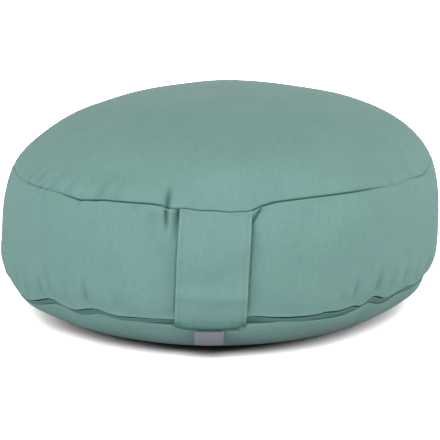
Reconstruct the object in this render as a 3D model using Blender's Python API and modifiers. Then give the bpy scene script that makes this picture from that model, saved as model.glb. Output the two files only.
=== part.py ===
"""Round zafu meditation cushion: a plump filled cushion sewn from a crowned top, a side band and a bottom,
with a zip in a channel round its foot, a flat carrying handle over the band and a small folded label.

Metres, +Z up. The origin is on the floor under the middle of the cushion and the handle faces -Y.
A bearing is an angle round the cushion in degrees: 0 at the front (-Y), growing towards +X.
"""

import bmesh
import bpy
import numpy as np

MM = 0.001

# The cushion's evenly turned form, before it is made uneven.
BELLY_RADIUS = 180 * MM
BELLY_HEIGHT = 56 * MM  # where the side band is widest
CROWN_HEIGHT = 179.5 * MM
CONTACT_RADIUS = 123 * MM  # the filling flattens the bottom out to here
TOP_SEAM_HEIGHT = 120.5 * MM
ZIP_HEIGHT = 32 * MM  # the band's folded lower edge, which laps over the zip
FOOT_SEAM_HEIGHT = 28 * MM  # where zip, handle and label are sewn to the bottom
# Exponents of the two superellipses that meet at the belly: (on the radius, on the height).
SHOULDER_CURVE = (2.0, 3.42)
FOOT_CURVE = (1.38, 2.46)

# Seams, as sections sunk into the filled form.
SEAM_HALF_WIDTH = 1.6 * MM
SEAM_DEPTH = 2.2 * MM
ZIP_CHANNEL_DEPTH = 3.2 * MM
FOLD_PROUD = 0.6 * MM  # the band's fold stands out over the channel
FOOT_SET_BACK = 0.8 * MM  # the bottom panel starts a little further in than the band

# Sewn-on pieces.
HANDLE_BEARING = -1.8
HANDLE_WIDTH = 53 * MM
HANDLE_THICKNESS = 2.0 * MM
HANDLE_RECESS = 2.6 * MM  # the taut handle presses the band in by this much
RECESS_MARGIN = 2.7 * MM  # how far beyond the handle's edge the band stays pressed in
RECESS_FADE = 20 * MM  # the length over which the band comes out again
HANDLE_BOW = 2.4 * MM  # the middle of its lower end is pulled down by this much
TAPE_THICKNESS = 1.0 * MM
LABEL_WIDTH = 22 * MM
LABEL_LENGTH = 12 * MM
LABEL_BEARING = -2.0
LABEL_THICKNESS = 1.2 * MM
LABEL_TURNED_IN = 6.0 * MM  # how far its lower edge hangs in under its seam
CLEARANCE = 0.6 * MM  # between neighbouring pieces

# How the filled cushion has slumped.
LEAN = 0.043  # sideways shift for each unit of height above the belly
TILT = 0.0227  # rise for each unit towards +X, above the foot
TILT_STARTS = 54 * MM  # the foot takes the tilt up below this height
FRONT_RISE = 0.02  # share by which heights grow at the front and fall at the back
DIP_REACH = 26 * MM  # how far above and below the top seam its dips pull the cloth along
WAVE_REACH = 17 * MM  # the same for the zip's waves
WAVES_START = 20 * MM  # the waves die out from here down to the floor

COLUMNS = 144  # steps of the turned form
CROWN_ROWS = 10
BAND_ROWS = 8
FOOT_ROWS = 5
HANDLE_CELLS = (10, 16)  # across, along
LABEL_CELLS = (6, 4)
MERGE_DISTANCE = 0.05 * MM

# Where the top seam is pulled down: the handle's two corners, a pleat beside it, and slack filling elsewhere.
TOP_SEAM_DIPS = (
    # bearing, drop in mm, reach in degrees
    (-65.0, 1.2, 10.0),
    (-39.5, 2.5, 4.5),
    (-12.0, 2.6, 3.0),
    (-2.0, 3.6, 8.0),
    (7.0, 4.8, 2.4),
    (68.0, 4.2, 14.0),
    (118.0, 2.4, 10.0),
    (166.0, 1.6, 7.0),
    (-150.0, 2.6, 9.0),
    (-104.0, 2.0, 8.0),
)

# Where the gathered zip rides up, and the band's fold with it. The sunk stretches are below zero.
ZIP_WAVES = (
    # bearing, lift in mm, reach in degrees
    (-60.5, -4.2, 6.0),
    (-45.5, 4.4, 4.0),
    (-31.2, 5.6, 5.0),
    (-16.0, 2.6, 9.0),
    (8.0, 1.9, 8.0),
    (26.3, 2.6, 2.6),
    (35.0, 1.2, 4.0),
    (41.2, 5.4, 2.6),
    (48.5, 1.6, 5.0),
    (57.8, 3.2, 3.2),
    (80.0, 3.0, 5.0),
    (104.0, 2.2, 4.0),
    (127.0, 3.8, 6.0),
    (158.0, 2.8, 5.0),
    (-171.0, 3.4, 5.5),
    (-140.0, 2.2, 4.5),
    (-112.0, 4.0, 5.5),
    (-84.0, 2.6, 5.0),
)

# Soft troughs that run away from a seam, up and down the cloth.
PUCKERS = (
    # bearing, height in mm, depth in mm, reach in degrees, reach in mm
    (-58.0, 124, 1.6, 4.0, 14),
    (-14.5, 122, 2.2, 3.2, 16),
    (11.5, 112, 1.8, 3.0, 16),
    (47.0, 122, 1.0, 5.0, 12),
    (-52.0, 42, 1.4, 3.6, 13),
    (33.5, 42, 1.6, 3.2, 14),
    (45.0, 44, 1.8, 3.4, 14),
    (110.0, 42, 1.6, 4.0, 14),
    (142.0, 121, 1.8, 4.0, 15),
    (-178.0, 43, 1.6, 4.0, 14),
    (-126.0, 121, 1.6, 4.0, 14),
    (-90.0, 42, 1.4, 4.0, 13),
)


def outline_radius(height):
    """Radius of the evenly turned form at a height: one superellipse above the belly, one below it."""
    height = np.asarray(height, float)
    rise = np.clip((height - BELLY_HEIGHT) / (CROWN_HEIGHT - BELLY_HEIGHT), 0, 1)
    fall = np.clip((BELLY_HEIGHT - height) / BELLY_HEIGHT, 0, 1)
    shoulder = (1 - rise ** SHOULDER_CURVE[1]) ** (1 / SHOULDER_CURVE[0])
    foot = (1 - fall ** FOOT_CURVE[1]) ** (1 / FOOT_CURVE[0])
    return np.where(
        height > BELLY_HEIGHT,
        BELLY_RADIUS * shoulder,
        CONTACT_RADIUS + (BELLY_RADIUS - CONTACT_RADIUS) * foot,
    )


def bearing_between(bearing, middle):
    """Signed difference of two bearings, from -180 to 180 degrees."""
    return (bearing - middle + 180) % 360 - 180


def bell(distance, reach):
    return np.exp(-((distance / reach) ** 2))


def smooth_step(value, start, end):
    share = np.clip((value - start) / (end - start), 0, 1)
    return share * share * (3 - 2 * share)


def sum_of_bells(bearing, rows):
    return sum(size * MM * bell(bearing_between(bearing, at), reach) for at, size, reach in rows)


def handle_recess(bearing, height):
    """How far the handle presses the side band in; nothing above the top seam or below the foot seam."""
    aside = BELLY_RADIUS * np.radians(np.abs(bearing_between(bearing, HANDLE_BEARING)))
    flat = HANDLE_WIDTH / 2 + RECESS_MARGIN
    across = 1 - smooth_step(aside, flat, flat + RECESS_FADE)
    under_top = 1 - smooth_step(
        height, TOP_SEAM_HEIGHT - SEAM_HALF_WIDTH, TOP_SEAM_HEIGHT + SEAM_HALF_WIDTH
    )
    over_foot = smooth_step(height, FOOT_SEAM_HEIGHT - 0.1 * MM, FOOT_SEAM_HEIGHT)
    return HANDLE_RECESS * across * under_top * over_foot


def puckers(bearing, height):
    return sum(
        depth * MM * bell(bearing_between(bearing, at), wide) * bell(height - level * MM, tall * MM)
        for at, level, depth, wide, tall in PUCKERS
    )


def settled(bearing, radius, height):
    """Where points of the evenly turned form lie on the real, uneven cushion, as an array of x, y, z."""
    near_top_seam = bell(height - TOP_SEAM_HEIGHT, DIP_REACH)
    near_zip = bell(height - ZIP_HEIGHT, WAVE_REACH) * smooth_step(height, 0, WAVES_START)
    lift = sum_of_bells(bearing, ZIP_WAVES) * near_zip - sum_of_bells(bearing, TOP_SEAM_DIPS) * near_top_seam
    radius = radius - handle_recess(bearing, height) - puckers(bearing, height)
    height = height + lift
    angle = np.radians(bearing)
    x, y = radius * np.sin(angle), -radius * np.cos(angle)
    rise = TILT * x * smooth_step(height, 0, TILT_STARTS) - FRONT_RISE * y / BELLY_RADIUS * height
    return np.stack([x + LEAN * (height - BELLY_HEIGHT), y, height + rise], axis=-1)


def even_rows(low, high, count):
    """Heights from high down to low, evenly spaced along the outline between them."""
    fine = np.linspace(high, low, 400)
    steps = np.hypot(np.diff(fine), np.diff(outline_radius(fine)))
    length = np.concatenate([[0], np.cumsum(steps)])
    return np.interp(np.linspace(0, length[-1], count), length, fine)


def cushion_outline():
    """The turned form's half outline as (radius, height), from the crown to the middle of the bottom."""

    def rows(heights, inset=0.0):
        return [(float(outline_radius(h)) - inset, float(h)) for h in heights]

    crown = rows(even_rows(TOP_SEAM_HEIGHT + SEAM_HALF_WIDTH, CROWN_HEIGHT, CROWN_ROWS))
    crown[0] = (0.0, CROWN_HEIGHT)
    seam = rows([TOP_SEAM_HEIGHT], SEAM_DEPTH)
    band = rows(even_rows(ZIP_HEIGHT, TOP_SEAM_HEIGHT - SEAM_HALF_WIDTH, BAND_ROWS))
    band[-1] = (band[-1][0] + FOLD_PROUD, band[-1][1])
    channel = rows([ZIP_HEIGHT, FOOT_SEAM_HEIGHT], ZIP_CHANNEL_DEPTH)
    foot = rows(even_rows(0.0, FOOT_SEAM_HEIGHT, FOOT_ROWS))
    foot[0] = (foot[0][0] - FOOT_SET_BACK, foot[0][1])
    return crown + seam + band + channel + foot + [(0.0, 0.0)]


def material(name, colour, roughness):
    made = bpy.data.materials.new(name)
    made.use_nodes = True
    shader = made.node_tree.nodes["Principled BSDF"]
    shader.inputs["Base Color"].default_value = (*colour, 1)
    shader.inputs["Roughness"].default_value = roughness
    shader.inputs["Metallic"].default_value = 0.0
    return made


def add_object(name, mesh, surface):
    made = bpy.data.objects.new(name, mesh)
    made.data.materials.append(surface)
    parts.objects.link(made)
    return made


def turned_mesh(name, outline):
    """The outline swept once round +Z with a Screw modifier, as a plain mesh."""
    mesh = bpy.data.meshes.new(name + "_outline")
    points = [(radius, 0.0, height) for radius, height in outline]
    mesh.from_pydata(points, [(i, i + 1) for i in range(len(points) - 1)], [])
    holder = bpy.data.objects.new(name + "_outline", mesh)
    bpy.context.scene.collection.objects.link(holder)
    screw = holder.modifiers.new("turn", "SCREW")
    screw.axis = "Z"
    screw.steps = screw.render_steps = COLUMNS
    screw.use_merge_vertices = True
    screw.merge_threshold = MERGE_DISTANCE
    bpy.context.view_layer.update()
    evaluated = holder.evaluated_get(bpy.context.evaluated_depsgraph_get())
    turned = bpy.data.meshes.new_from_object(evaluated)
    bpy.data.objects.remove(holder)
    turned.name = name
    return turned


def coordinates(mesh):
    flat = np.empty(len(mesh.vertices) * 3)
    mesh.vertices.foreach_get("co", flat)
    return flat.reshape(-1, 3)


def move_to(mesh, points):
    mesh.vertices.foreach_set("co", points.astype(np.float32).ravel())
    mesh.update()


def strip(name, surface, cells, place, thickness):
    """A flat grid laid on the cushion by place(across, along), both 0 to 1, then given its thickness."""
    bm = bmesh.new()
    bmesh.ops.create_grid(bm, x_segments=cells[0], y_segments=cells[1], size=0.5)
    mesh = bpy.data.meshes.new(name)
    bm.to_mesh(mesh)
    bm.free()
    flat = coordinates(mesh) + 0.5
    move_to(mesh, place(flat[:, 0], flat[:, 1]))
    mesh.shade_smooth()
    made = add_object(name, mesh, surface)
    solidify = made.modifiers.new("cloth thickness", "SOLIDIFY")
    solidify.thickness = thickness
    solidify.offset = 0.0
    return made


def cushion_body(surface):
    """The filled cushion in one piece: crown, top seam, belly, zip channel and flattened bottom."""
    mesh = turned_mesh("cushion", cushion_outline())
    even = coordinates(mesh)
    bearing = HANDLE_BEARING + np.degrees(np.arctan2(even[:, 1], even[:, 0]))
    radius = np.hypot(even[:, 0], even[:, 1])
    move_to(mesh, settled(bearing, radius, even[:, 2]))
    mesh.shade_smooth()
    return add_object("cushion", mesh, surface)


def handle(surface):
    """The flat strap over the side band, sewn in at the top seam and the foot seam and free at both edges."""
    top = TOP_SEAM_HEIGHT - SEAM_HALF_WIDTH - CLEARANCE
    stand_off = CLEARANCE + HANDLE_THICKNESS / 2

    def place(across, along):
        foot = FOOT_SEAM_HEIGHT + CLEARANCE - HANDLE_BOW * (1 - (2 * across - 1) ** 4)
        height = foot + (top - foot) * along
        bearing = HANDLE_BEARING + np.degrees(HANDLE_WIDTH * (across - 0.5) / outline_radius(height))
        return settled(bearing, outline_radius(height) + FOLD_PROUD + stand_off, height)

    return strip("handle", surface, HANDLE_CELLS, place, HANDLE_THICKNESS)


def zip_tape(surface):
    """The zip's tape, lying in the channel right round the cushion; its two ends meet behind the handle."""
    half_height = (ZIP_HEIGHT - FOOT_SEAM_HEIGHT) / 2 - CLEARANCE - TAPE_THICKNESS / 4
    middle = (ZIP_HEIGHT + FOOT_SEAM_HEIGHT) / 2

    def place(around, up):
        height = middle + half_height * (2 * up - 1)
        bearing = HANDLE_BEARING + 360 / COLUMNS * (1 + (COLUMNS - 2) * around)
        channel_floor = outline_radius(height) - ZIP_CHANNEL_DEPTH
        return settled(bearing, channel_floor + CLEARANCE + TAPE_THICKNESS, height)

    return strip("zip_tape", surface, (COLUMNS - 2, 1), place, TAPE_THICKNESS)


def label(surface):
    """The small label, folded double, that hangs from the foot seam under the handle."""
    half_angle = np.degrees(LABEL_WIDTH / 2 / outline_radius(FOOT_SEAM_HEIGHT))
    top = FOOT_SEAM_HEIGHT - HANDLE_BOW - CLEARANCE
    seam_radius = float(outline_radius(FOOT_SEAM_HEIGHT)) + CLEARANCE + LABEL_THICKNESS / 2

    def place(across, along):
        height = top - LABEL_LENGTH * (1 - along)
        bearing = LABEL_BEARING + half_angle * (2 * across - 1)
        return settled(bearing, seam_radius - LABEL_TURNED_IN * (1 - along) ** 2, height)

    return strip("label", surface, LABEL_CELLS, place, LABEL_THICKNESS)


for old in list(bpy.data.objects):
    bpy.data.objects.remove(old)

parts = bpy.data.collections.new("zafu_cushion")
bpy.context.scene.collection.children.link(parts)

cover_cloth = material("cover_cloth", (0.205, 0.345, 0.310), 0.85)
zip_cloth = material("zip_cloth", (0.120, 0.225, 0.205), 0.75)
label_cloth = material("label_cloth", (0.170, 0.170, 0.185), 0.70)

cushion_body(cover_cloth)
handle(cover_cloth)
zip_tape(zip_cloth)
label(label_cloth)
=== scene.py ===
"""The looks of a round zafu meditation cushion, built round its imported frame.

The cushion is a filled cotton cover: a crowned top panel, a side band and a bottom panel, with a zip in a
channel under the band's folded edge, a flat carrying handle over the band and a small folded label below it.

Metres, +Z up, the handle towards -Y. A bearing is an angle round the cushion in degrees: 0 at the front
(-Y), growing towards +X. A meridian runs from the crown over the band to the middle of the bottom, and
"along" is the cloth's own length down it, from the crown.
"""

import logging
import math
from dataclasses import dataclass, field
from enum import Enum
from typing import Optional, Union

import bpy
import numpy as np
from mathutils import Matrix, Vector


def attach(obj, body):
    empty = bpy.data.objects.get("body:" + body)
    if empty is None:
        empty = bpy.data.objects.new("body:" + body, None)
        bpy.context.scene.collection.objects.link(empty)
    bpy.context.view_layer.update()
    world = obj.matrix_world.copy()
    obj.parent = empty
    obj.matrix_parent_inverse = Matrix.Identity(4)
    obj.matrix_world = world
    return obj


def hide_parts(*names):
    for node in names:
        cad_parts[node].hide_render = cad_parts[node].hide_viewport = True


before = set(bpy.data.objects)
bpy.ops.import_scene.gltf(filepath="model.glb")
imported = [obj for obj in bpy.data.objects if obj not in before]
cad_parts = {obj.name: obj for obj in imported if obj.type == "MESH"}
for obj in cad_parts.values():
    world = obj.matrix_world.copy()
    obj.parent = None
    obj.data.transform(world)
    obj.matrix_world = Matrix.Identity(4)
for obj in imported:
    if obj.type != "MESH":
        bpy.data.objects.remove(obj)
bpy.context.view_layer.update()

LOG = logging.getLogger("zafu")
MM = 0.001
UV_NAME = "cloth"
# The vertex attribute that carries painted shade (below 0) and painted highlight (above 0) into the cloth's
# colour.
PAINTED_LIGHT_NAME = "painted_light"
PER_THOUSAND = 0.001
Colour = tuple[float, float, float]
Vector3 = tuple[float, float, float]


class Seam(Enum):
    """The seams that creases leave from."""

    TOP = "top"
    ZIP = "zip"


class Panel(Enum):
    """The cut pieces of the cover, each with its own island of the cloth's UV map."""

    TOP = 0
    BAND = 1
    BOTTOM = 2


@dataclass(frozen=True)
class Swell:
    """One bell-shaped rise (or dip, below zero) in a line that runs round the cushion.

    Args:
        bearing: where its middle is, in degrees.
        size: its height in millimetres, or in thousandths where it is a share.
        reach: the bell's half width in degrees.
    """

    bearing: float
    size: float
    reach: float


@dataclass(frozen=True)
class Crease:
    """One trough in the cloth that leaves a seam, with a low lip of displaced filling on each side.

    Args:
        seam: the seam it leaves.
        bearing: where its middle is, in degrees.
        low: its lower end, in millimetres above the seam along the cloth.
        high: its upper end, the same way.
        depth: its depth in millimetres.
        width: its half width in millimetres.
        slant: how far it runs sideways for each unit upwards.
        edge: the power of its section: 1 is a sharp pinch, 2 a soft trough.
        deepest: where it is deepest, measured as low and high are, or None for its end nearest the seam.
        lip: the height of its lips, as a share of its depth.
        lip_at: how far aside a lip stands, in widths.
        lip_width: a lip's half width, in widths.
        shortest: the least distance over which it fades out, in millimetres.
    """

    seam: Seam
    bearing: float
    low: float
    high: float
    depth: float
    width: float
    slant: float = 0.0
    edge: float = 2.0
    deepest: Optional[float] = None
    lip: float = 0.28
    lip_at: float = 2.3
    lip_width: float = 1.1
    shortest: float = 1.5

    @property
    def peak(self) -> float:
        """Where it is deepest, in millimetres above the seam along the cloth."""
        return min(max(0.0, self.low), self.high) if self.deepest is None else self.deepest

    def sink(self, up: np.ndarray, aside: np.ndarray) -> np.ndarray:
        """How far it sinks the cloth, in millimetres.

        That is depth times cos^2 of the way from its deepest point to its end, times a section of
        e^-|d|^edge less the lip's bell, where d is the distance aside in widths.

        Args:
            up: millimetres above the seam along the cloth.
            aside: millimetres to the right of the crease's bearing.

        Returns:
            The depth at each point.
        """
        above = (up - self.peak) / max(self.high - self.peak, self.shortest)
        below = (self.peak - up) / max(self.peak - self.low, self.shortest)
        strength = np.cos(np.clip(np.maximum(above, below), 0, 1) * math.pi / 2) ** 2
        side = np.abs(aside - self.slant * up) / self.width
        lips = self.lip * bell(side - self.lip_at, self.lip_width)
        return self.depth * strength * (np.exp(-(side**self.edge)) - lips)


@dataclass(frozen=True)
class Fold:
    """One soft fold across the handle: a bell about a slanting line.

    Args:
        size: how far it stands out in millimetres, below zero for a hollow.
        at: where its line crosses the handle's middle, as a share of the height from the foot.
        reach: the bell's half width, as a share of the height.
        slant: how much lower its line is at the right edge than at the left, as a share of the height.
    """

    size: float
    at: float
    reach: float
    slant: float


@dataclass(frozen=True)
class PaintedLightLine:
    """One painted line beside an edge: a bell of painted highlight (above 0) or painted shade (below 0) on
    the cloth.

    Args:
        strength: its most. The finish keeps the sum of a piece's lines between -1 and 1.
        at: its distance from the edge.
        width: the bell's half width.
    """

    strength: float
    at: float
    width: float


def swells(*rows: tuple[float, float, float]) -> tuple[Swell, ...]:
    """A table of swells from rows of bearing, size and reach."""
    return tuple(Swell(*row) for row in rows)


def creases(seam: Seam, *rows: tuple[float, ...]) -> tuple[Crease, ...]:
    """A table of one seam's creases from rows of bearing, low, high, depth, width and the rest in order."""
    return tuple(Crease(seam, *row) for row in rows)


# How the top seam is pulled down at the handle and elsewhere, in millimetres.
TOP_SEAM_DIPS = swells(
    (-65, -0.5, 10),
    (-39.5, -2.5, 5),
    (-12.8, -2.4, 3),
    (-5, -4.5, 5.5),
    (2.5, -5.2, 4),
    (6.8, -4, 2.5),
    (10.5, -1.4, 2.5),
    (25, 1.1, 12),
    (50, -2.1, 5),
    (69, -3.9, 9),
    (118, -2.4, 10),
    (166, -1.6, 7),
    (-150, -2.6, 9),
    (-104, -2, 8),
)

# The waves of the zip in millimetres, which the tape and the foot panel's edge follow.
ZIP_WAVES = swells(
    (-84, 4.6, 7),
    (-72, 3, 5),
    (-59, -3.9, 6.5),
    (-46, 4.6, 5.5),
    (-31.5, 4, 4),
    (-20, 1.9, 8),
    (-6, 1.3, 9),
    (9, 2.1, 7),
    (17, 1.1, 4),
    (37, 1.8, 3),
    (42, 4.6, 3.2),
    (54, 3.8, 6),
    (70, 2.6, 9),
    (84, 3, 7),
    (104, 2.2, 4),
    (127, 3.8, 6),
    (158, 2.8, 5),
    (-171, 3.4, 5.5),
    (-140, 2.2, 4.5),
    (-112, 4, 5.5),
    (-90, 1.6, 5),
)

# How the band's hem rides up and down over the zip, beside its mean rise, in millimetres.
HEM_RISES = swells(
    (-68, 1.5, 6),
    (-49, 0.8, 4),
    (-42, -1.5, 3.5),
    (-34.5, 1.4, 3),
    (8.5, 1.3, 3.5),
    (17.5, -1.1, 3),
    (27.8, 1.2, 2),
    (39, -3.4, 2.2),
    (44, 1.4, 2),
    (52.5, -1.5, 3),
    (65, -0.8, 5),
    (98, 1.6, 5),
    (121, -1.4, 4),
    (147, 1.5, 6),
    (-158, -1.2, 5),
    (-128, 1.8, 5),
    (-98, -1, 4),
)

# How much longer the cloth is than its seam, in thousandths: the filling pushes the excess into puckers.
TOP_SLACK = swells(
    (-56, 26, 13),
    (-33, 12, 6),
    (-15, 18, 5),
    (11, 16, 4),
    (62, 20, 14),
    (104, 22, 14),
    (150, 26, 16),
    (-165, 22, 12),
    (-118, 26, 16),
)
ZIP_SLACK = swells(
    (-50, 30, 12),
    (-31, 18, 6),
    (30, 16, 6),
    (48, 34, 11),
    (84, 26, 14),
    (128, 30, 14),
    (174, 28, 14),
    (-136, 26, 12),
    (-98, 30, 14),
)

# Broad soft hollows, and bulges below zero, where the filling has slumped.
SLUMPS = creases(
    Seam.TOP,
    # The top panel is drawn down more steeply over its front seam, and puffs out beside it.
    (4, 1, 66, -3, 50, 0, 2, 25),
    (-34, 0, 26, -1.5, 44, 0, 4, 10),
    (32, 0, 26, -1.7, 44, 0, 4, 10),
    (-34, -18, 0, -0.6, 44, 0, 4, -7),
) + creases(
    Seam.ZIP,
    # At the right the foot panel bulges out below the zip.
    (80, -48, -4, -4, 46, 0, 2, -17),
) + creases(
    Seam.TOP,
    # The valleys beside the handle, where its pull draws the band in.
    (-12.2, -100, -12, 1.1, 10, 0, 2, -56),
    (8.4, -100, -12, 0.9, 9, 0, 2, -56),
    # Right of the handle the band turns under a little more.
    (16, -100, -12, 1.5, 24, 0, 2, -86),
    (33, -100, -12, 1.3, 24, 0, 2, -86),
)

# The narrow creases that leave the two seams.
CREASES = creases(
    Seam.TOP,
    # Left of the handle: a sharp pinch over the top seam, a short one under it, and a soft one beside it.
    (-14, -1, 24, 4.2, 1.7, -0.06, 1.2),
    (-14.3, -25, 0, 3.6, 1.35, -0.14, 1.4, -5),
    (-17.5, -34, -6, 1.2, 6),
    # The wedge of band that folds under the handle's left corner, and the tuck at its right corner.
    (-11, -32, -1, 3.4, 2.2, 0.02, 1.6),
    (10.2, -13, 1, 3.8, 1.8, 0.85, 1.4, -5),
    # The slack left shoulder: soft wrinkles that fan up and down from the top seam.
    (-56.5, -6, 12, 2, 2.4, 0.35, 1.6),
    (-52, 2, 26, 1.5, 3.4, 0.5),
    (-60.5, 4, 28, 1.5, 3.6, 0.6),
    (-65.5, 4, 26, 1.2, 3.6, 0.7),
    (-53.2, -16, 0, 1.2, 1.9, 0.1),
    (-45.5, 2, 24, 1.1, 3.2, 0.4),
    (-34.3, 0, 30, 1.7, 3.6, 0.30),
    (-39.5, -12, 3, 1.1, 2.6, 0),
    (-29, 2, 26, 0.8, 4.4, 0.25),
    (-22.5, -22, -2, 0.8, 4, 0.1),
    # The right shoulder, smoother.
    (15, 2, 30, 0.8, 5, -0.2),
    (50, 2, 22, 0.9, 4, -0.4),
    (61, 2, 22, 1.1, 4, -0.5),
) + creases(
    Seam.ZIP,
    # Above the zip, left.
    (-62, 3, 34, 1.2, 2.6, -0.10, 1.8, 12),
    (-56.5, 3, 30, 1.2, 2.6, -0.10, 1.8, 11),
    (-49.6, 2, 34, 1.9, 2.8, -0.22, 1.8, 12),
    (-46.2, 3, 42, 1.2, 3.2, -0.20, 2, 16),
    (-40.5, 3, 28, 0.8, 3, -0.05, 2, 12),
    (-33.8, 2, 40, 2.2, 2.6, -0.14, 1.7, 14),
    (-25, 3, 30, 0.9, 4, -0.05, 2, 11),
    # Above the zip, right.
    (31.5, 3, 24, 0.9, 3.2, 0.10, 2, 9),
    (35.2, 2, 32, 1.9, 2.2, 0.12, 1.7, 12),
    (42.5, 1, 38, 2.6, 2.3, 0.16, 1.6, 10),
    (47.5, 3, 32, 1.3, 2.8, 0.16, 1.9, 12),
    (53, 3, 34, 1.5, 2.8, 0.18, 1.9, 12),
    (59.5, 3, 28, 1.2, 3, 0.20, 2, 10),
    (67, 3, 26, 1, 3.2, 0.20, 2, 10),
) + creases(
    Seam.TOP,
    # Round the back, where the same slack cloth is gathered.
    (142, -8, 18, 1.6, 3, 0.2, 1.7),
    (128, 2, 26, 1, 3.8, 0.3),
    (-126, -12, 14, 1.5, 3, -0.2, 1.7),
    (-170, 2, 28, 1.1, 4, -0.2),
) + creases(
    Seam.ZIP,
    (88, 3, 26, 1.3, 3, 0.1, 1.8, 9),
    (110, 3, 26, 1.8, 3, -0.1, 1.7, 9),
    (134, 3, 28, 1.3, 3.2, -0.1, 2, 10),
    (-178, 3, 26, 1.8, 3, 0.1, 1.7, 9),
    (-154, 3, 26, 1.2, 3.2, 0.1, 2, 10),
    (-121, 3, 28, 1.6, 2.8, -0.1, 1.8, 9),
    (-90, 3, 24, 1.6, 3, 0.1, 1.7, 9),
)

# The handle's soft folds, from its top down.
HANDLE_FOLDS = (
    Fold(1.5, 0.67, 0.16, -0.16),
    Fold(-0.8, 0.42, 0.08, -0.16),
    Fold(1.4, 0.30, 0.06, 0.05),
    Fold(-0.5, 0.19, 0.06, 0.05),
)

# Where the cover's columns of vertices stand closer, for its sharpest creases: how much denser they are.
GATHERED = swells(
    (-14.2, 3, 1.5),
    (-10.8, 2.4, 1.5),
    (7.6, 2.8, 2),
)

# How far the top seam's line closes up and pales, in thousandths: its groove grows shallower and gets less
# painted shade.
SEAM_CLOSES = swells(
    (-72, 860, 15),
    (-50, 600, 8),
    (51.5, 950, 11),
    (80, 860, 16),
    (-13, 560, 2.4),
    (-2, -350, 7),
    (9, 300, 1.6),
    (112, 400, 20),
    (-130, 400, 20),
)


def bell(distance: np.ndarray, reach: float) -> np.ndarray:
    """A bell curve: e to the power of minus (distance over reach) squared."""
    return np.exp(-((distance / reach) ** 2))


def smooth_step(value: np.ndarray, start: float, end: float) -> np.ndarray:
    """0 before start, 1 after end, and 3t^2 - 2t^3 of the share t between them."""
    share = np.clip((value - start) / (end - start), 0, 1)
    return share * share * (3 - 2 * share)


def bearing_between(bearing: np.ndarray, middle: float) -> np.ndarray:
    """The signed difference of two bearings, from -180 to 180 degrees."""
    return (bearing - middle + 180) % 360 - 180


def sum_of_swells(bearing: np.ndarray, rows: tuple[Swell, ...]) -> np.ndarray:
    """The sum of the swells' bells at each bearing, in their own unit."""
    return sum(s.size * bell(bearing_between(bearing, s.bearing), s.reach) for s in rows)


def painted_light_lines(distance: np.ndarray, lines: tuple[PaintedLightLine, ...]) -> np.ndarray:
    """The sum of the painted lines' bells at each distance from an edge: painted highlight above 0, shade
    below 0.
    """
    return sum(line.strength * bell(distance - line.at, line.width) for line in lines)


def spread(start: float, end: float, pitch: float) -> np.ndarray:
    """Even distances about a pitch apart, from start up to and without end."""
    return np.linspace(start, end, max(1, round((end - start) / pitch)), endpoint=False)


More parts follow.
